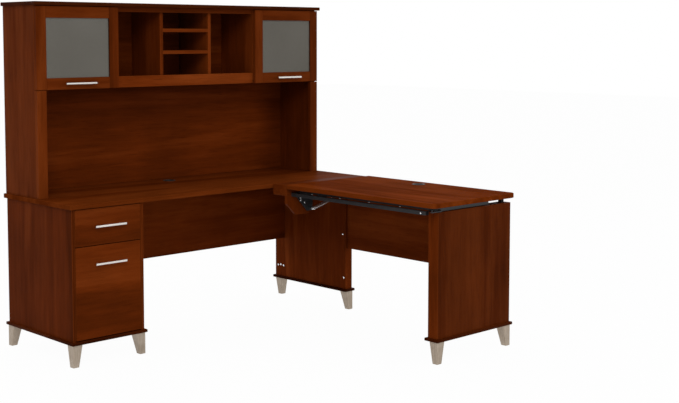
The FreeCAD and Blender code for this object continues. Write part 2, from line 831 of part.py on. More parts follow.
def make_lower_frame():
    frame = new_body("lift_lower_frame")
    rail_left = "return_left + rail_from_side"
    low = "spring_z - plate_margin"
    outline = [(rail_left, "rail_bottom"), ("two_x - plate_nose", "rail_bottom"),
               ("spring_x - plate_margin", low), ("one_x + plate_margin", low),
               ("one_x + plate_margin", "two_z + plate_head"),
               (rail_left, "two_z + plate_head")]
    ends = both_ends("0", "plate_thick")
    slab(frame, "XZ_Plane", outline, "plate_thick", ends[0])
    length = "-end_leg_back - block_depth"
    box_feature(frame, "Additive", ("rail_width", length, "rail_height"),
                (rail_left, "end_leg_back", "rail_bottom"))
    slab(frame, "XZ_Plane", outline, "plate_thick", ends[1])
    for x, z, reach in (("one_x", "one_z", "driven_off + arm_thick"),
                        ("two_x", "two_z", "idle_off + arm_thick + pin_stand_out")):
        for start in both_ends("0", reach):
            cross_pin(frame, "Additive", "pin_diameter", x, z, start, reach)
    cross_pin(frame, "Additive", "spring_pin", "spring_x", "spring_z", ends[0],
              "spring_off + spring_eye_thick / 2 + spring_pin_end")
    put(frame, "0", "0", "0")
    keep(frame)


def make_arms():
    driven = new_body("lift_arms_driven")
    starts = both_ends("driven_off", "arm_thick")
    add_arm(driven, "one_x", "one_z", starts[0], "pin_diameter + pin_play")
    inside = f"{starts[0]} + arm_thick"
    length = f"{starts[1]} - ({inside})"
    cross_pin(driven, "Additive", "tube_diameter", "tube_x", "tube_z", inside, length)
    add_arm(driven, "one_x", "one_z", starts[1], "pin_diameter + pin_play")
    cross_pin(driven, "Additive", "spring_pin", "seat_x", "seat_z", starts[0],
              "spring_off - driven_off + spring_eye_thick / 2 + spring_pin_end")
    put(driven, "0", "0", "0")
    keep(driven)
    idle = []
    for end, start in zip(("rear", "near"), both_ends("idle_off", "arm_thick")):
        arm = new_body("lift_arm_idle_" + end)
        add_arm(arm, "two_x", "two_z", start, "pin_diameter + open_pin_play")
        put(arm, "0", "0", "0")
        idle.append(arm)
    group("lift_arms_idle", idle)


def make_upper_frame():
    frame = new_body("lift_upper_frame")
    inner = "return_left + frame_inner_from_side"
    outer = "return_left + frame_outer_from_side"
    low = "lift_under - frame_bar_high"
    rear = both_ends("hanger_off", "0")[0]
    near = "return_reach - end_leg_inset - overhang"
    width = f"{outer} + frame_bar - ({inner})"
    for x in (inner, outer):
        box_feature(frame, "Additive", ("frame_bar", f"{near} - ({rear})", "frame_bar_high"),
                    (x, f"-({near})", low))
        if x == inner:
            for y in (f"-({near})", f"-({rear}) - frame_bar - plate_thick"):
                box_feature(frame, "Additive", (width, "frame_bar", "frame_bar_high"),
                            (inner, y, low))
    tip_one = ("one_x + reach_x", "one_z + reach_z")
    tip_two = ("two_x + reach_x", "two_z + reach_z")
    left, right = f"{tip_two[0]} - hanger_lap", f"{tip_one[0]} + hanger_end"
    neck, waist = f"{tip_one[0]} - hanger_neck", f"{tip_one[1]} + hanger_waist"
    foot = f"{tip_one[1]} - hanger_drop"
    hanger = [(left, "lift_under"), (left, waist), (neck, waist), (neck, foot),
              (right, foot), (right, "lift_under")]
    for start in both_ends("hanger_off", "plate_thick"):
        slab(frame, "XZ_Plane", hanger, "plate_thick", start)
    for tip, offset in ((tip_one, "driven_off - pin_stand_out"),
                        (tip_two, "idle_off - pin_stand_out")):
        reach = f"hanger_off + plate_thick - ({offset})"
        for start in both_ends(offset, reach):
            cross_pin(frame, "Additive", "pin_diameter", *tip, start, reach)
    cheek = f"{near} - weld"
    box_feature(frame, "Additive", ("2 * lever_boss", "lever_cheek", "lift_under - lever_z + lever_cheek_drop"),
                ("lever_x - lever_boss", f"-({cheek}) - lever_cheek",
                 "lever_z - lever_cheek_drop"))
    cross_pin(frame, "Additive", "lever_pin", "lever_x", "lever_z", cheek,
              "weld + lever_cheek + lever_width + lever_pin_end")
    put(frame, "0", "0", "0")
    keep(frame)


def make_lever():
    # flat release lever under the near left corner of the lift top
    lever = new_body("release_lever")
    start = "return_reach - end_leg_inset - overhang + lever_cheek"
    left = "return_left + lever_from_side"
    paddle = box_feature(lever, "Additive", ("lever_length", "lever_width", "lever_thick"),
                         (left, f"-({start}) - lever_width", "lift_under - lever_drop"))
    round_edges(lever, paddle, "lever_round")
    cross_pin(lever, "Additive", "lever_boss", "lever_x", "lever_z", start, "lever_width")
    cross_pin(lever, "Subtractive", "lever_pin + pin_play", "lever_x", "lever_z",
              f"{start} - cut_over", "lever_width + 2 * cut_over")
    put(lever, "0", "0", "0")
    keep(lever)


def aim_spring(body, x, z):
    body.Placement.Rotation = FreeCAD.Rotation(FreeCAD.Vector(0, -1, 0), 1)
    bind(body, "Placement.Rotation.Angle",
         "atan((seat_z - spring_z) / (seat_x - spring_x))")
    put(body, x, "-block_depth - spring_off", z)


def make_gas_spring():
    tube = new_body("gas_spring_tube")
    eye = ("0", "spring_eye_thick / 2", "0")
    rod_feature(tube, "Additive", "spring_eye", "spring_eye_thick", eye, TURN_TO_MINUS_Y)
    rod_feature(tube, "Additive", "spring_tube", "spring_tube_length",
                ("spring_neck", "0", "0"), TURN_TO_PLUS_X)
    rod_feature(tube, "Subtractive", "spring_tube_bore", "spring_tube_length",
                ("spring_eye", "0", "0"), TURN_TO_PLUS_X)
    rod_feature(tube, "Subtractive", "spring_pin + pin_play",
                "spring_eye_thick + 2 * cut_over", ("0", "spring_eye_thick / 2 + cut_over", "0"), TURN_TO_MINUS_Y)
    aim_spring(tube, "spring_x", "spring_z")
    keep(tube)
    rod = new_body("gas_spring_rod")
    rod_feature(rod, "Additive", "spring_eye", "spring_eye_thick", eye, TURN_TO_MINUS_Y)
    rod_feature(rod, "Additive", "spring_rod", "spring_rod_length", ("0", "0", "0"),
                TURN_TO_MINUS_X)
    rod_feature(rod, "Subtractive", "spring_pin + pin_play",
                "spring_eye_thick + 2 * cut_over", ("0", "spring_eye_thick / 2 + cut_over", "0"), TURN_TO_MINUS_Y)
    aim_spring(rod, "seat_x", "seat_z")
    keep(rod)


def make_rest_pads():
    # rubber pads that the lowered top rests on: one on the end leg, one on the panel
    near = panel("rest_pad_near",
                 ("pad_size", "pad_size", "lift_under - pad_gap - end_leg_height"),
                 ("desk_width - pad_from_side - pad_size",
                  "end_leg_front + (end_leg_thick - pad_size) / 2", "end_leg_height"))
    rear = panel("rest_pad_rear", ("board", "pad_length", "lift_under - pad_gap - block_under"),
                 ("return_modesty_right - board", "-block_depth - pad_setback", "block_under"))
    group("rest_pads", [near, rear])


make_main_top()
make_feet()
make_pedestal()
make_main_leg()
make_drawers()
make_hutch()
make_shelves()
make_door("door_left", "door_left_edge", True)
make_door("door_right", "door_right_edge", False)
make_hinge_plates()
make_return()
make_lift_top()
make_lower_frame()
make_arms()
make_upper_frame()
make_lever()
make_gas_spring()
make_rest_pads()
doc.recompute()

# ---- checks, then one STEP file for each sub-part --------------------------------

for thing in doc.Objects:
    if "Invalid" in thing.State or "Error" in thing.State:
        raise SystemExit(f"{thing.Label} failed: {thing.State}")
for piece in subparts:
    if piece.Shape.isNull() or not piece.Shape.isValid() or not piece.Shape.Solids:
        raise SystemExit(f"{piece.Label} has no valid shape")
for piece in subparts:
    piece.Shape.exportStep(f"parts/{piece.Label}.step")
print(len(subparts), "sub-parts written")
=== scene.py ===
import math
import bpy
import numpy as np
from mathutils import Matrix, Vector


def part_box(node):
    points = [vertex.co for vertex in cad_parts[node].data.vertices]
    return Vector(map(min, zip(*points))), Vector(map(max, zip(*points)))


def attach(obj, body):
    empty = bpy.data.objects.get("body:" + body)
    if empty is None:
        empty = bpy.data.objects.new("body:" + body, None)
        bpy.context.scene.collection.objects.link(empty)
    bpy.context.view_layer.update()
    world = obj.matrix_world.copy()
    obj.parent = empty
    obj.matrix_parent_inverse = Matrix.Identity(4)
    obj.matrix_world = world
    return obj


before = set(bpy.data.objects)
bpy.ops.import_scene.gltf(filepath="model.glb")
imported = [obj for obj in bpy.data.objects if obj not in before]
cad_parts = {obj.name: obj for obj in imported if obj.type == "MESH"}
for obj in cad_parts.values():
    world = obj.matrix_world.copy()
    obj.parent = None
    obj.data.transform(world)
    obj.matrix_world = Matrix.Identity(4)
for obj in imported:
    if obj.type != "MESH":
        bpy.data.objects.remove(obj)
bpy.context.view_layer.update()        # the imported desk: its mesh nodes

print("frame loaded:", len(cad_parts), "nodes")


def addNode(tree, kind, setup=None, **sockets):
    # sockets are named with _ for a space; an output socket as value makes a link
    node = tree.nodes.new(kind)
    for key, value in (setup or {}).items():
        setattr(node, key, value)
    for key, value in sockets.items():
        socket = node.inputs[key.replace("_", " ")]
        if isinstance(value, bpy.types.NodeSocket):
            tree.links.new(value, socket)
        else:
            socket.default_value = value
    return node


def calc(tree, operation, *values):
    node = tree.nodes.new("ShaderNodeMath")
    node.operation = operation
    for socket, value in zip(node.inputs, values):
        if isinstance(value, bpy.types.NodeSocket):
            tree.links.new(value, socket)
        else:
            socket.default_value = value
    return node.outputs[0]


def spread(tree, value, low, high, outLow=0.0, outHigh=1.0):
    # straight remap of low..high to outLow..outHigh, held at the ends
    node = addNode(tree, "ShaderNodeMapRange", {"clamp": True}, Value=value)
    for key, number in (("From Min", low), ("From Max", high),
                        ("To Min", outLow), ("To Max", outHigh)):
        node.inputs[key].default_value = number
    return node.outputs[0]


def tint(tree, share, first, second, mode="MIX"):
    # blends two colours by share
    node = tree.nodes.new("ShaderNodeMix")
    node.data_type = "RGBA"
    node.blend_type = mode
    for socket, value in ((node.inputs[0], share), (node.inputs[6], first),
                          (node.inputs[7], second)):
        if isinstance(value, bpy.types.NodeSocket):
            tree.links.new(value, socket)
        else:
            socket.default_value = value
    return node.outputs[2]


def ramp(tree, value, *stops):
    # stops are (place, colour)
    node = addNode(tree, "ShaderNodeValToRGB", Fac=value)
    while len(node.color_ramp.elements) < len(stops):
        node.color_ramp.elements.new(0.5)
    for element, (place, colour) in zip(node.color_ramp.elements, stops):
        element.position = place
        element.color = (*colour, 1.0)
    return node.outputs["Color"]


def noise(tree, place, scale, detail=3.0, rough=0.5, bend=0.0):
    return addNode(tree, "ShaderNodeTexNoise", Vector=place, Scale=scale, Detail=detail,
                   Roughness=rough, Distortion=bend).outputs["Fac"]


def mapped(tree, place, scale, shift=(0.0, 0.0, 0.0)):
    return addNode(tree, "ShaderNodeMapping", Vector=place, Scale=scale,
                   Location=shift).outputs["Vector"]


def bump(tree, height, distance, strength=1.0):
    return addNode(tree, "ShaderNodeBump", Height=height, Distance=distance,
                   Strength=strength).outputs["Normal"]


def newFinish(name):
    # an empty material with its tree, shader and object coordinates
    finish = bpy.data.materials.new(name)
    finish.use_nodes = True
    tree = finish.node_tree
    shader = next(n for n in tree.nodes if n.type == "BSDF_PRINCIPLED")
    coords = tree.nodes.new("ShaderNodeTexCoord")
    return finish, tree, shader, coords.outputs["Object"]


def wire(tree, shader, **sockets):
    for key, value in sockets.items():
        socket = shader.inputs[key.replace("_", " ")]
        if isinstance(value, bpy.types.NodeSocket):
            tree.links.new(value, socket)
        else:
            socket.default_value = value


def wear(finish, node):
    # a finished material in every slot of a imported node
    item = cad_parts[node]
    if not item.material_slots:
        item.data.materials.append(finish)
    for place in item.material_slots:
        place.material = finish


cherry = {
    "deep": (0.052, 0.0088, 0.0008),
    "middle": (0.104, 0.0172, 0.0018),
    "light": (0.172, 0.0340, 0.0052),
    "pore": (0.036, 0.0055, 0.0006),
    "streakScale": 5.0,        # broad clouds across the grain, per metre
    "slowScale": 2.1,
    "fibreScale": 46.0,
    "poreScale": 420.0,
    "stretch": 0.09,           # along the grain
    "fineStretch": 0.35,       # fibre and pores are longer still by this
    "folds": 9.0,              # flame lines in the range of the clouds
    "shares": {"clouds": 0.40, "fibre": 0.22, "slow": 0.30, "folded": 0.08},
    "toneStops": (0.34, 0.49, 0.66),
    "poreMask": (0.60, 0.72, 0.55),
    "roughness": (0.42, 0.58),
    "gloss": 0.010,
    "edgeWidth": 0.0022,       # metres of painted rim, a highlight along the edges on most boards
    "edgeShare": 0.55,
    "raggedScale": 90.0,
    "raggedDepth": 0.0016,
    "patchScale": 3.2,         # slow patches over a whole board
    "patchTones": (0.84, 1.12),
    "bandedBelow": 0.6,        # how far a face looks along the thin way
    "grainDepth": 0.00035,
}


def makeFigure():
    # clouds, flame lines and fibre from stretched noise; the flame is the contour
    # of the broad noise folded back and forth
    group = bpy.data.node_groups.new("cherryFigure", "ShaderNodeTree")
    face = group.interface
    face.new_socket("Broad", in_out="INPUT", socket_type="NodeSocketVector")
    face.new_socket("Fine", in_out="INPUT", socket_type="NodeSocketVector")
    face.new_socket("Tint", in_out="OUTPUT", socket_type="NodeSocketColor")
    face.new_socket("Sheen", in_out="OUTPUT", socket_type="NodeSocketFloat")
    face.new_socket("Relief", in_out="OUTPUT", socket_type="NodeSocketFloat")
    start = group.nodes.new("NodeGroupInput")
    end = group.nodes.new("NodeGroupOutput")
    clouds = noise(group, start.outputs[0], cherry["streakScale"], 3.0, 0.55, 0.5)
    slow = noise(group, start.outputs[0], cherry["slowScale"], 1.0, 0.5, 0.3)
    fibre = noise(group, start.outputs[0], cherry["fibreScale"], 5.0, 0.62, 0.2)
    folded = calc(group, "PINGPONG", calc(group, "MULTIPLY", clouds, cherry["folds"]), 1.0)
    pores = noise(group, start.outputs[1], cherry["poreScale"], 2.0, 0.5)
    shares = cherry["shares"]
    mixed = calc(group, "MULTIPLY", clouds, shares["clouds"])
    for layer, share in ((fibre, shares["fibre"]), (slow, shares["slow"]),
                         (folded, shares["folded"])):
        mixed = calc(group, "ADD", mixed, calc(group, "MULTIPLY", layer, share))
    tones = (cherry["deep"], cherry["middle"], cherry["light"])
    body = ramp(group, mixed, *zip(cherry["toneStops"], tones))
    poreStart, poreFull, poreShare = cherry["poreMask"]
    poreMask = spread(group, pores, poreStart, poreFull, 0.0, poreShare)
    body = tint(group, poreMask, body, (*cherry["pore"], 1.0))
    group.links.new(body, end.inputs[0])
    group.links.new(spread(group, mixed, 0.35, 0.65, cherry["roughness"][1],
                           cherry["roughness"][0]), end.inputs[1])
    relief = calc(group, "SUBTRACT", calc(group, "MULTIPLY", fibre, 0.5), poreMask)
    group.links.new(relief, end.inputs[2])
    return group


def makeEdge():
    # distance of a point on a board to its nearest edge: the middle one of its three
    # distances to the pairs of faces
    group = bpy.data.node_groups.new("boardEdge", "ShaderNodeTree")
    face = group.interface
    face.new_socket("Place", in_out="INPUT", socket_type="NodeSocketVector")
    face.new_socket("Distance", in_out="OUTPUT", socket_type="NodeSocketFloat")
    start = group.nodes.new("NodeGroupInput")
    end = group.nodes.new("NodeGroupOutput")
    parts = addNode(group, "ShaderNodeSeparateXYZ", Vector=start.outputs[0]).outputs
    small = calc(group, "MINIMUM", parts[0], parts[1])
    large = calc(group, "MAXIMUM", parts[0], parts[1])
    group.links.new(calc(group, "MAXIMUM", small, calc(group, "MINIMUM", large, parts[2])),
                    end.inputs[0])
    return group


figureGroup = makeFigure()
edgeGroup = makeEdge()
stretchAlong = {"x": (0, 1, 1), "y": (1, 0, 1), "z": (1, 1, 0)}


def figureOf(tree, place, grain, seed):
    # the cherry figure with its grain along one axis, cut from its own part of the log
    across = stretchAlong[grain]
    broad = [1.0 if a else cherry["stretch"] for a in across]
    fine = [1.0 if a else cherry["stretch"] * cherry["fineStretch"] for a in across]
    shift = (3.1 * math.sin(seed * 1.7), 2.7 * math.cos(seed * 2.3), 1.9 * math.sin(seed * 0.9))
    node = tree.nodes.new("ShaderNodeGroup")
    node.node_tree = figureGroup
    tree.links.new(mapped(tree, place, broad, shift), node.inputs[0])
    tree.links.new(mapped(tree, place, fine, shift), node.inputs[1])
    return node.outputs


def patchy(tree, place, body, scale, tones):
    # slow patches, from the first tone to the second, over a colour
    patches = ramp(tree, noise(tree, place, scale, 2.0, 0.5),
                   (0.3, (tones[0],) * 3), (0.7, (tones[1],) * 3))
    return tint(tree, 1.0, body, patches, "MULTIPLY")


def cherryBoard(node, grain, seed, lift=1.0, edge=0.5, bandingAndLight=1.0, gloss=1.0):
    # lift makes a board a little lighter or darker: its own tone, and on some boards painted
    # light and shade;
    # edge sets the tone of a painted rim, a highlight along the edges where high and a darker
    # rim where low; the banding tone tints the edge banding, which is every face that doesn't
    # look along the thin way, and on leg_return it also brings those faces back out of painted
    # shade
    finish, tree, shader, place = newFinish("cherry_" + node)
    body, sheen, relief = figureOf(tree, place, grain, seed)
    low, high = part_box(node)
    middle = [(a + b) / 2 for a, b in zip(low, high)]
    half = [(b - a) / 2 for a, b in zip(low, high)]
    away = addNode(tree, "ShaderNodeVectorMath", {"operation": "SUBTRACT"}, Vector=place)
    away.inputs[1].default_value = middle
    size = addNode(tree, "ShaderNodeVectorMath", {"operation": "ABSOLUTE"},
                   Vector=away.outputs[0])
    inside = tree.nodes.new("ShaderNodeVectorMath")
    inside.operation = "SUBTRACT"
    inside.inputs[0].default_value = half
    tree.links.new(size.outputs[0], inside.inputs[1])
    rim = tree.nodes.new("ShaderNodeGroup")
    rim.node_tree = edgeGroup
    tree.links.new(inside.outputs[0], rim.inputs[0])
    ragged = calc(tree, "ADD", rim.outputs[0],
                  calc(tree, "MULTIPLY", noise(tree, place, cherry["raggedScale"], 3.0),
                       cherry["raggedDepth"]))
    # painted rim: a highlight along the board's edges, a darker rim on boards with a low edge
    # tone
    paintedRim = spread(tree, ragged, cherry["edgeWidth"] * 0.6, cherry["edgeWidth"] * 1.7,
                    cherry["edgeShare"], 0.0)
    body = patchy(tree, place, body, cherry["patchScale"],
                  [tone * lift for tone in cherry["patchTones"]])
    thin = half.index(min(half))
    facing = addNode(tree, "ShaderNodeSeparateXYZ",
                     Vector=addNode(tree, "ShaderNodeTexCoord").outputs["Normal"]).outputs[thin]
    # the narrow faces, tinted by the banding tone; on leg_return this also lifts them out of the
    # painted shade
    narrowFaces = calc(tree, "LESS_THAN", calc(tree, "ABSOLUTE", facing), cherry["bandedBelow"])
    body = tint(tree, narrowFaces, body, tint(tree, 1.0, body, (bandingAndLight, bandingAndLight, bandingAndLight, 1.0), "MULTIPLY"))
    rimTone = tuple(c * edge for c in cherry["light"]) + (1.0,)
    body = tint(tree, paintedRim, body, rimTone)
    wire(tree, shader, Base_Color=body, Roughness=sheen,
         Specular_IOR_Level=cherry["gloss"] * gloss,
         Normal=bump(tree, relief, cherry["grainDepth"], 0.7))
    wear(finish, node)


boards = {
    # node: grain, lift (own tone, and painted light and shade on some boards), rim tone against
    # the light tone (a painted highlight where high), edge banding, gloss
    "desktop_main": ("x", 0.92, 0.75, 0.9, 0.1), "lift_top": ("y", 1.28, 0.70, 0.85, 0.03),
    "joint_block": ("x", 1.00, 0.60), "joint_cleat": ("x", 0.80, 0.50),
    "pedestal_side_left": ("z", 0.92, 1.10), "pedestal_side_right": ("z", 0.95, 0.90),
    "pedestal_back": ("z", 0.90, 0.60), "pedestal_stretcher": ("x", 0.85, 0.60),
    # painted shade: leg_return is darkened for the shadow of the file cabinet, which isn't
    # modelled, and its banding lifts its narrow faces back; leg_main and the modesty panels are
    # lifted as painted light in their shade
    "leg_main": ("z", 1.35, 0.90), "leg_return": ("z", 0.62, 0.90, 1.75),
    "modesty_main": ("x", 1.45, 0.60), "modesty_return": ("y", 1.35, 0.60),
    "gusset": ("z", 1.10, 1.10),
    "hutch_top": ("x", 0.70, 0.25, 0.5), "hutch_side_left": ("z", 0.88, 1.00),
    "hutch_side_right": ("z", 0.95, 0.90), "hutch_back": ("x", 1.15, 0.50),
    "hutch_floor": ("x", 0.85, 0.60), "hutch_stiles": ("z", 0.98, 1.05),
    "hutch_partitions": ("z", 1.05, 0.90), "cubby_dividers": ("z", 1.10, 1.00),
    "cubby_shelves": ("x", 1.10, 1.00), "cabinet_shelves": ("x", 0.90, 0.60),
    "hutch_rail_top": ("x", 0.95, 0.60), "hutch_rail_bottom": ("x", 1.20, 1.10),
    "drawer_top_front": ("x", 1.08, 0.70), "drawer_file_front": ("x", 1.16, 0.70),
    "pedestal_base": ("x", 0.70, 0.20, 0.6), "leg_main_base": ("y", 0.70, 0.20, 0.6),
    "leg_return_base": ("x", 0.70, 0.20, 0.6),
}
for count, (node, (grain, *tones)) in enumerate(boards.items()):
    cherryBoard(node, grain, count + 1, *tones)
print("cherry boards done:", len(boards))


doorWood = {"stile": 0.054, "patchScale": 4.0, "patchTones": (0.82, 1.04),
            "seam": (0.0003, 0.0009), "seamShare": 0.85, "grainDepth": 0.0004}


def doorFrame(node, seed):
    # grain runs up the stiles and across the rails; a fine dark line marks each joint
    finish, tree, shader, place = newFinish("cherry_" + node)
    up = figureOf(tree, place, "z", seed)
    over = figureOf(tree, place, "x", seed + 5)
    low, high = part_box(node)
    parts = addNode(tree, "ShaderNodeSeparateXYZ", Vector=place).outputs
    fromMiddle = calc(tree, "ABSOLUTE", calc(tree, "SUBTRACT", parts[0], (low.x + high.x) / 2))
    jointPlace = (high.x - low.x) / 2 - doorWood["stile"]
    across = calc(tree, "LESS_THAN", fromMiddle, jointPlace)
    seam = spread(tree, calc(tree, "ABSOLUTE", calc(tree, "SUBTRACT", fromMiddle, jointPlace)),
                  *doorWood["seam"], doorWood["seamShare"], 0.0)
    body = tint(tree, across, up[0], over[0])
    body = patchy(tree, place, body, doorWood["patchScale"], doorWood["patchTones"])
    body = tint(tree, seam, body, (*cherry["pore"], 1.0))
    relief = calc(tree, "SUBTRACT", up[2], seam)
    wire(tree, shader, Base_Color=body, Roughness=up[1], Specular_IOR_Level=cherry["gloss"],
         Normal=bump(tree, relief, doorWood["grainDepth"], 0.7))
    wear(finish, node)


doorFrame("door_left_frame", 41)
doorFrame("door_right_frame", 47)


drawerBoard = {"pale": (0.46, 0.33, 0.20), "dark": (0.33, 0.22, 0.12),
               "roughness": (0.5, 0.68), "stretch": 0.07, "fibreScale": 38.0,
               "cloudScale": 6.0, "fibreShare": 0.7}


def makeDrawerBoard():
    finish, tree, shader, place = newFinish("drawerBoard")
    along = mapped(tree, place, (1.0, drawerBoard["stretch"], 1.0))
    fibre = noise(tree, along, drawerBoard["fibreScale"], 5.0, 0.6, 0.3)
    cloud = noise(tree, place, drawerBoard["cloudScale"], 2.0)
    share = drawerBoard["fibreShare"]
    mixed = calc(tree, "ADD", calc(tree, "MULTIPLY", fibre, share),
                 calc(tree, "MULTIPLY", cloud, 1.0 - share))
    wire(tree, shader, Specular_IOR_Level=0.25,
         Base_Color=ramp(tree, mixed, (0.35, drawerBoard["dark"]), (0.62, drawerBoard["pale"])),
         Roughness=spread(tree, fibre, 0.3, 0.7, *drawerBoard["roughness"]),
         Normal=bump(tree, fibre, 0.0003, 0.5))
    return finish


drawerFinish = makeDrawerBoard()
for node in ("drawer_top_box", "drawer_top_bottom", "drawer_file_box", "drawer_file_bottom"):
    wear(drawerFinish, node)


metals = {
    # name: dark tone, light tone, metallic, roughness low and high, brush scale, brush stretch
    "footMetal": ((0.30, 0.235, 0.175), (0.47, 0.39, 0.31), 0.55,
                  0.34, 0.52, 260.0, (1, 1, 0.05)),
    "satinNickel": ((0.66, 0.63, 0.59), (0.86, 0.83, 0.79), 1.0,
                    0.22, 0.36, 700.0, (0.03, 1, 1)),
    "zincSteel": ((0.42, 0.44, 0.46), (0.70, 0.71, 0.73), 1.0, 0.26, 0.46, 60.0, (1, 1, 1)),
    "springSteel": ((0.50, 0.51, 0.52), (0.78, 0.79, 0.80), 0.9,
                    0.24, 0.40, 500.0, (0.1, 1, 0.1)),
    "polishedSteel": ((0.66, 0.66, 0.67), (0.86, 0.86, 0.87), 1.0,
                      0.08, 0.20, 900.0, (0.1, 1, 0.1)),
    "blackSteel": ((0.010, 0.010, 0.011), (0.024, 0.024, 0.026), 0.0,
                   0.38, 0.56, 900.0, (1, 1, 1)),
}
metalSkin = {"driftScale": 14.0, "spotScale": 75.0, "spots": (0.58, 0.74),
             "lineShare": 0.55, "rubbedShare": 0.35, "rubbedLift": 1.15,
             "rubbedGloss": 0.12, "lineDepth": 0.00008}


def makeMetal(name, dark, light, metallic, smooth, dull, brushScale, brushStretch):
    # brushed or coated skin: fine lines or grain, slow tone drift and a few rubbed spots
    finish, tree, shader, place = newFinish(name)
    lines = noise(tree, mapped(tree, place, brushStretch), brushScale, 4.0, 0.6)
    drift = noise(tree, place, metalSkin["driftScale"], 3.0, 0.55)
    spots = spread(tree, noise(tree, place, metalSkin["spotScale"], 4.0, 0.7),
                   *metalSkin["spots"])
    share = metalSkin["lineShare"]
    mixed = calc(tree, "ADD", calc(tree, "MULTIPLY", lines, share),
                 calc(tree, "MULTIPLY", drift, 1.0 - share))
    body = ramp(tree, mixed, (0.36, dark), (0.62, light))
    rubbedTone = tuple(min(1.0, c * metalSkin["rubbedLift"]) for c in light) + (1.0,)
    body = tint(tree, calc(tree, "MULTIPLY", spots, metalSkin["rubbedShare"]), body, rubbedTone)
    shine = calc(tree, "MULTIPLY", spots, metalSkin["rubbedGloss"])
    gloss = spread(tree, calc(tree, "SUBTRACT", mixed, shine), 0.3, 0.65, smooth, dull)
    wire(tree, shader, Base_Color=body, Metallic=metallic, Roughness=gloss,
         Specular_IOR_Level=0.4, Normal=bump(tree, lines, metalSkin["lineDepth"], 0.6))
    return finish


made = {name: makeMetal(name, *numbers) for name, numbers in metals.items()}
wornBy = {
    "footMetal": ["pedestal_feet", "leg_feet"],
    "satinNickel": ["drawer_top_handle", "drawer_file_handle", "door_left_handle",
                    "door_right_handle"],
    "zincSteel": ["drawer_rails", "drawer_top_slides", "drawer_file_slides", "hinge_plates",
                  "door_left_hinges", "door_right_hinges"],
    "springSteel": ["gas_spring_tube"],
    "polishedSteel": ["gas_spring_rod"],
    "blackSteel": ["lift_lower_frame", "lift_arms_driven", "lift_arms_idle",
                   "lift_upper_frame", "release_lever"],
}
for name, nodes in wornBy.items():
    for node in nodes:
        wear(made[name], node)


def makeMoulded(name, dark, light, smooth, dull, grainScale, depth):
    # moulded plastic or rubber: a pebbled skin with dull and shiny patches
    finish, tree, shader, place = newFinish(name)
    pebble = addNode(tree, "ShaderNodeTexVoronoi", {"feature": "SMOOTH_F1"}, Vector=place,
                     Scale=grainScale).outputs["Distance"]
    patch = noise(tree, place, 55.0, 3.0)
    wire(tree, shader, Base_Color=ramp(tree, patch, (0.35, dark), (0.65, light)),
         Roughness=spread(tree, patch, 0.3, 0.7, smooth, dull), Specular_IOR_Level=0.35,
         Normal=bump(tree, pebble, depth, 0.6))
    return finish


moulded = {
    # name: dark tone, light tone, roughness low and high, pebbles per metre, their depth
    "blackPlastic": ((0.008, 0.008, 0.008), (0.022, 0.021, 0.020), 0.36, 0.55, 1500.0, 0.0001),
    "blackRubber": ((0.010, 0.010, 0.010), (0.024, 0.023, 0.022), 0.70, 0.9, 900.0, 0.00015),
}
for name, numbers in moulded.items():
    made[name] = makeMoulded(name, *numbers)
for node in ("grommet_main", "grommet_return"):
    wear(made["blackPlastic"], node)
wear(made["blackRubber"], "rest_pads")

frosted = {"tone": (0.140, 0.128, 0.104), "paler": (0.166, 0.153, 0.127), "through": 0.36,
           "roughness": (0.24, 0.34), "etchScale": 1400.0, "cloudScale": 3.5,
           "etchDepth": 0.00004}


def makeFrosted():
    # etched pane: fine sparkle in its gloss, slow clouds, a little of what lies behind
    finish, tree, shader, place = newFinish("frostedPane")
    etch = noise(tree, place, frosted["etchScale"], 2.0, 0.6)
    cloud = noise(tree, place, frosted["cloudScale"], 2.0, 0.5)
    wire(tree, shader, Base_Color=ramp(tree, cloud, (0.3, frosted["tone"]),
                                       (0.7, frosted["paler"])),
         Roughness=spread(tree, etch, 0.3, 0.7, *frosted["roughness"]), IOR=1.45,
         Transmission_Weight=frosted["through"], Specular_IOR_Level=0.2,
         Normal=bump(tree, etch, frosted["etchDepth"], 0.5))
    return finish


made["frostedPane"] = makeFrosted()
for node in ("door_left_glass", "door_right_glass"):
    wear(made["frostedPane"], node)
print("metals, plastics and panes done")


camera = {"place": (-3.8534, -4.5241, 1.5270), "yaw": -0.7535, "pitch": -0.0764,
          "lens": 64.31, "shift": (0.0325, -0.1053)}


def makeCamera():
    data = bpy.data.cameras.new("camera")
    data.lens = camera["lens"]
    data.sensor_width = 36.0
    data.shift_x, data.shift_y = camera["shift"]
    data.clip_end = 60.0
    item = bpy.data.objects.new("camera", data)
    item.location = camera["place"]
    item.rotation_euler = (math.pi / 2 + camera["pitch"], 0.0, camera["yaw"])
    bpy.context.scene.collection.objects.link(item)
    bpy.context.scene.camera = item


def seenWhite(tree):
    # 1 for what the camera sees itself, in metal or through glass
    path = tree.nodes.new("ShaderNodeLightPath").outputs
    both = calc(tree, "MAXIMUM", path["Is Camera Ray"], path["Is Glossy Ray"])
    return calc(tree, "MAXIMUM", both, path["Is Transmission Ray"])


stage = {"halfSize": 24.0, "tone": 0.80, "glow": 0.972}
light = {
    "ambient": 0.66,
    # name: place, aim, width, watts
    "key": ((-3.6, -4.2, 4.6), (0.0, 0.0, 0.7), 3.0, 130.0),
    "fill": ((2.8, -5.0, 2.8), (0.2, 0.0, 0.7), 3.0, 50.0),
    "back": ((0.5, 4.5, 4.2), (0.0, 0.2, 0.8), 3.0, 50.0),
}


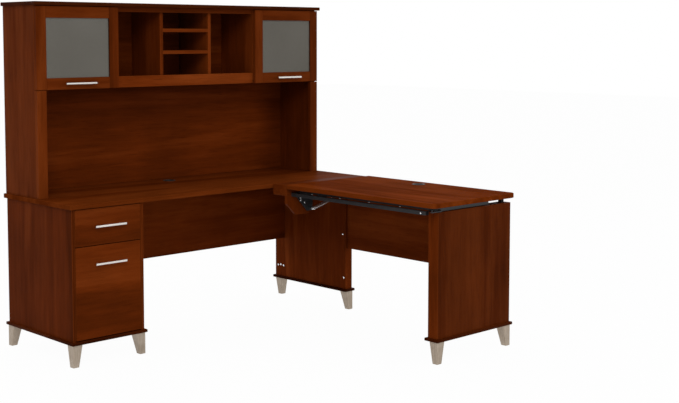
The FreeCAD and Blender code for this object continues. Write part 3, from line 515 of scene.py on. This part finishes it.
def makeStage():
    size = stage["halfSize"]
    mesh = bpy.data.meshes.new("floor")
    mesh.from_pydata([(-size, -size, 0), (size, -size, 0), (size, size, 0), (-size, size, 0)],
                     [], [(0, 1, 2, 3)])
    floor = bpy.data.objects.new("floor", mesh)
    bpy.context.scene.collection.objects.link(floor)
    finish, tree, shader, place = newFinish("paleFloor")
    wire(tree, shader, Base_Color=(stage["tone"],) * 3 + (1.0,), Roughness=0.9,
         Specular_IOR_Level=0.0)
    glow = addNode(tree, "ShaderNodeEmission", Color=(1.0, 1.0, 1.0, 1.0), Strength=1.0)
    blendIn = tree.nodes.new("ShaderNodeMixShader")
    tree.links.new(calc(tree, "MULTIPLY", seenWhite(tree), stage["glow"]), blendIn.inputs[0])
    tree.links.new(shader.outputs[0], blendIn.inputs[1])
    tree.links.new(glow.outputs[0], blendIn.inputs[2])
    output = next(n for n in tree.nodes if n.type == "OUTPUT_MATERIAL")
    tree.links.new(blendIn.outputs[0], output.inputs["Surface"])
    mesh.materials.append(finish)
    world = bpy.data.worlds.new("studio")
    bpy.context.scene.world = world
    world.use_nodes = True
    tree = world.node_tree
    backdrop = next(n for n in tree.nodes if n.type == "BACKGROUND")
    strength = spread(tree, seenWhite(tree), 0.0, 1.0, light["ambient"], 1.0)
    backdrop.inputs["Color"].default_value = (1.0, 1.0, 1.0, 1.0)
    tree.links.new(strength, backdrop.inputs["Strength"])


def makeLamp(name, place, aim, width, watts):
    data = bpy.data.lights.new(name, "AREA")
    data.shape = "DISK"
    data.size = width
    data.energy = watts
    item = bpy.data.objects.new(name, data)
    away = np.array(aim) - np.array(place)
    item.location = place
    item.rotation_euler = (math.atan2(math.hypot(away[0], away[1]), -away[2]), 0.0,
                           math.atan2(away[1], away[0]) - math.pi / 2)
    item.visible_glossy = False
    bpy.context.scene.collection.objects.link(item)


makeCamera()
makeStage()
for name in ("key", "fill", "back"):
    makeLamp(name, *light[name])
bpy.context.scene.view_settings.view_transform = "Standard"
print("camera, floor and lamps done")


def addMesh(name, points, faces, finish, body):
    # a smooth-shaded piece that moves with its body
    mesh = bpy.data.meshes.new(name)
    mesh.from_pydata(points.reshape(-1, 3).tolist(), [], faces)
    mesh.polygons.foreach_set("use_smooth", np.full(len(mesh.polygons), True))
    mesh.materials.append(finish)
    mesh.update()
    piece = bpy.data.objects.new(name, mesh)
    bpy.context.scene.collection.objects.link(piece)
    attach(piece, body)


def ringFaces(rings, around, first=0):
    # quads between rings, and a fan from a pole point at each end
    step, turn = np.meshgrid(np.arange(rings - 1), np.arange(around), indexing="ij")
    nextTurn = (turn + 1) % around
    base = first + 1
    quads = np.stack([base + step * around + turn, base + step * around + nextTurn,
                      base + (step + 1) * around + nextTurn,
                      base + (step + 1) * around + turn], -1).reshape(-1, 4)
    lap = np.arange(around)
    low = np.stack([np.full(around, first), base + (lap + 1) % around, base + lap], -1)
    top = first + 1 + rings * around
    high = np.stack([np.full(around, top), base + (rings - 1) * around + lap,
                     base + (rings - 1) * around + (lap + 1) % around], -1)
    return quads.tolist() + low.tolist() + high.tolist()


def turned(profile, centre, axis, around=28, recess=None):
    # point = centre + axis h + r (u cos t + v sin t), for (r, h) along the profile;
    # recess(r, t) is cut into the head along the axis
    profile = np.array(profile, float)
    axis = np.array(axis, float) / np.linalg.norm(axis)
    helper = np.array([0.0, 0.0, 1.0]) if abs(axis[2]) < 0.9 else np.array([1.0, 0.0, 0.0])
    u = np.cross(helper, axis)
    u /= np.linalg.norm(u)
    v = np.cross(axis, u)
    t = np.linspace(0, 2 * math.pi, around, endpoint=False)
    r, h = profile[1:-1, 0][:, None], profile[1:-1, 1][:, None] + 0.0 * t
    if recess is not None:
        h = h - recess(r + 0.0 * t, t + 0.0 * r)
    flat = np.cos(t)[None, :, None] * u + np.sin(t)[None, :, None] * v
    rings = np.array(centre) + h[..., None] * axis + r[..., None] * flat
    tipHeight = profile[-1, 1] - (recess(np.zeros(1), np.zeros(1))[0] if recess else 0.0)
    low = np.array(centre) + profile[0, 1] * axis
    tip = np.array(centre) + tipHeight * axis
    points = np.vstack([low, rings.reshape(-1, 3), tip])
    return points, len(profile) - 2, around


def joinShells(name, shells, finish, body):
    # one piece of many shells, each with its own point numbers
    points, faces, count = [], [], 0
    for shell, rings, around in shells:
        points.append(shell)
        faces += ringFaces(rings, around, count)
        count += len(shell)
    addMesh(name, np.vstack(points), faces, finish, body)


def crossRecess(size, depth):
    # two crossed slots with sloping walls, closed towards the rim
    def cut(r, t):
        arm = np.minimum(np.abs(r * np.cos(t)), np.abs(r * np.sin(t)))
        wall = np.clip(1.6 - arm / (size * 0.22), 0, 1)
        return depth * wall * np.clip(2.2 - 2.0 * r / size, 0, 1)
    return cut


def hexRecess(size, depth):
    # six-sided socket: r against the hexagon's own radius at that angle
    def cut(r, t):
        side = size / np.cos((t + math.pi / 6) % (math.pi / 3) - math.pi / 6)
        return depth * np.clip((side - r) / (size * 0.18), 0, 1)
    return cut


def domeProfile(radius, height, sink=0.0004):
    # a buried foot, an upright rim and an elliptic crown
    turn = np.linspace(0.0, math.pi / 2, 9)[:-1]
    crown = [(radius * math.cos(a), height * (0.3 + 0.7 * math.sin(a))) for a in turn]
    inner = [(radius * 0.12, height * 0.99)]
    return [(0, -sink), (radius * 0.5, -sink), (radius * 0.98, -sink), (radius, 0.0)] \
        + crown + inner + [(0, height)]


def panHead(centre, axis, radius, height):
    return turned(domeProfile(radius, height), centre, axis, 32,
                  crossRecess(radius * 0.62, height * 0.6))


def socketHead(centre, axis, radius, height):
    return turned(domeProfile(radius, height), centre, axis, 36,
                  hexRecess(radius * 0.45, height * 0.55))


def cover(centre, axis, radius, height):
    return turned(domeProfile(radius, height), centre, axis, 32)


# bright covers of the fittings on the inner face of the end leg
covers = {"radius": 0.0055, "height": 0.0025,
          # from the leg's front edge, above the floor
          "places": ((0.022, 0.428), (0.013, 0.182), (0.568, 0.180), (0.546, 0.184),
                     (0.522, 0.181))}
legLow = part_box("leg_main")[0]
shells = [cover((legLow.x, legLow.y + y, z), (-1, 0, 0), covers["radius"], covers["height"])
          for y, z in covers["places"]]
joinShells("legFittingCovers", shells, made["polishedSteel"], "frame")

# screws in the lift's two side plates, one in the near end of its rail, and the bolt
# head on the foot of the gas spring
linkage = {
    # from the plates' left edge and top: right, down
    "plateScrews": ((0.060, 0.030), (0.078, 0.028), (0.060, 0.044), (0.088, 0.058),
                    (0.118, 0.034)),
    "screwRadius": 0.0042, "screwHeight": 0.0026, "plate": 0.005,
    "boltRadius": 0.0070, "boltHeight": 0.0035,
    "springFoot": (0.122, 0.088), "springPinEnd": 0.044,
    "railScrew": (0.030, 0.011),
}
screw = (linkage["screwRadius"], linkage["screwHeight"])
plateLow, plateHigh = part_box("lift_lower_frame")
rearFace = plateHigh.y - linkage["plate"]
nearFace = plateLow.y + linkage["plate"]
shells = []
for right, down in linkage["plateScrews"]:
    for y, side in ((rearFace, -1), (nearFace, 1)):
        shells.append(panHead((plateLow.x + right, y, plateHigh.z - down), (0, side, 0), *screw))
along, down = linkage["railScrew"]
shells.append(panHead((plateLow.x, plateLow.y + along, plateHigh.z - down), (-1, 0, 0), *screw))
right, down = linkage["springFoot"]
shells.append(socketHead((plateLow.x + right, plateHigh.y - linkage["springPinEnd"],
                          plateHigh.z - down), (0, -1, 0),
                         linkage["boltRadius"], linkage["boltHeight"]))
joinShells("plateScrews", shells, made["polishedSteel"], "frame")

# screws that hold the upper frame to the lifting top, seen from below
topScrews = {"bar": 0.025, "barDepth": 0.022, "radius": 0.0045, "height": 0.002,
             "fromNear": 0.06, "fromRear": 0.11, "count": 5}
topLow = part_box("lift_top")[0]
barLow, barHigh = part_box("lift_upper_frame")
rows = (barLow.x + topScrews["bar"] / 2, barHigh.x - topScrews["bar"] / 2)
steps = np.linspace(barLow.y + topScrews["fromNear"], barHigh.y - topScrews["fromRear"],
                    topScrews["count"])
shells = [panHead((x, y, topLow.z - topScrews["barDepth"]), (0, 0, -1),
                  topScrews["radius"], topScrews["height"])
          for x in rows for y in steps]
joinShells("topScrews", shells, made["zincSteel"], "work_surface")

# screws in the hinge plates
hinge = {"plateThick": 0.008, "fromEnd": 0.022, "screwRise": 0.016,
         "screwAlong": (0.016, 0.040), "screwRadius": 0.0038, "screwHeight": 0.0018}
ways = {"left": 1, "right": -1}
caseSide = {"left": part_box("hutch_side_left")[1].x, "right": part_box("hutch_side_right")[0].x}
hingeLow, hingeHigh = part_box("hinge_plates")
shells = []
for side, way in ways.items():
    x = caseSide[side] + way * hinge["plateThick"]
    for z in (hingeLow.z + hinge["fromEnd"], hingeHigh.z - hinge["fromEnd"]):
        for rise in (-hinge["screwRise"], hinge["screwRise"]):
            for along in hinge["screwAlong"]:
                shells.append(panHead((x, hingeLow.y + along, z + rise), (way, 0, 0),
                                      hinge["screwRadius"], hinge["screwHeight"]))
joinShells("hingePlateScrews", shells, made["polishedSteel"], "frame")

# a soft bumper in the two free corners of each door's back
bumper = {"radius": 0.005, "height": 0.0018, "inset": 0.012}
for side, way in ways.items():
    doorLow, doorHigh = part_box(f"door_{side}_frame")
    free = doorHigh.x if side == "left" else doorLow.x
    shells = [cover((free - way * bumper["inset"], doorHigh.y, z), (0, 1, 0),
                    bumper["radius"], bumper["height"])
              for z in (doorLow.z + bumper["inset"], doorHigh.z - bumper["inset"])]
    joinShells(f"doorBumpers_{side}", shells, made["blackRubber"], f"{side}_door")

# pins with a flange that carry the cabinet shelves
shelfPin = {
    "inset": 0.03, "below": 0.0032,
    # radius, distance from the wall
    "profile": [(0, -0.0005), (0.003, -0.0005), (0.0055, -0.0004), (0.0058, 0.0008),
                (0.0036, 0.0014), (0.0031, 0.003), (0.0030, 0.0085), (0.0024, 0.0097),
                (0.001, 0.0102), (0, 0.0102)],
}
shelfLow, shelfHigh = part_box("cabinet_shelves")
partLow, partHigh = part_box("hutch_partitions")
walls = ((caseSide["left"], 1), (partLow.x, -1), (partHigh.x, 1), (caseSide["right"], -1))
shells = [turned(shelfPin["profile"], (x, y, shelfLow.z - shelfPin["below"]), (way, 0, 0), 24)
          for x, way in walls
          for y in (shelfLow.y + shelfPin["inset"], shelfHigh.y - shelfPin["inset"])]
joinShells("shelfPins", shells, made["zincSteel"], "frame")

# screws in the back board of each drawer box
drawerScrew = {"boardThick": 0.012, "fromSide": 0.05, "fromBottom": 0.04, "fromTop": 0.02,
               "radius": 0.004, "height": 0.002}
for name in ("top", "file"):
    boxLow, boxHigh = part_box(f"drawer_{name}_box")
    shells = [socketHead((x, boxHigh.y - drawerScrew["boardThick"], z), (0, -1, 0),
                         drawerScrew["radius"], drawerScrew["height"])
              for x in (boxLow.x + drawerScrew["fromSide"], boxHigh.x - drawerScrew["fromSide"])
              for z in (boxLow.z + drawerScrew["fromBottom"],
                        boxHigh.z - drawerScrew["fromTop"])]
    joinShells(f"drawerBackScrews_{name}", shells, made["zincSteel"], f"{name}_drawer")

print("fittings done")
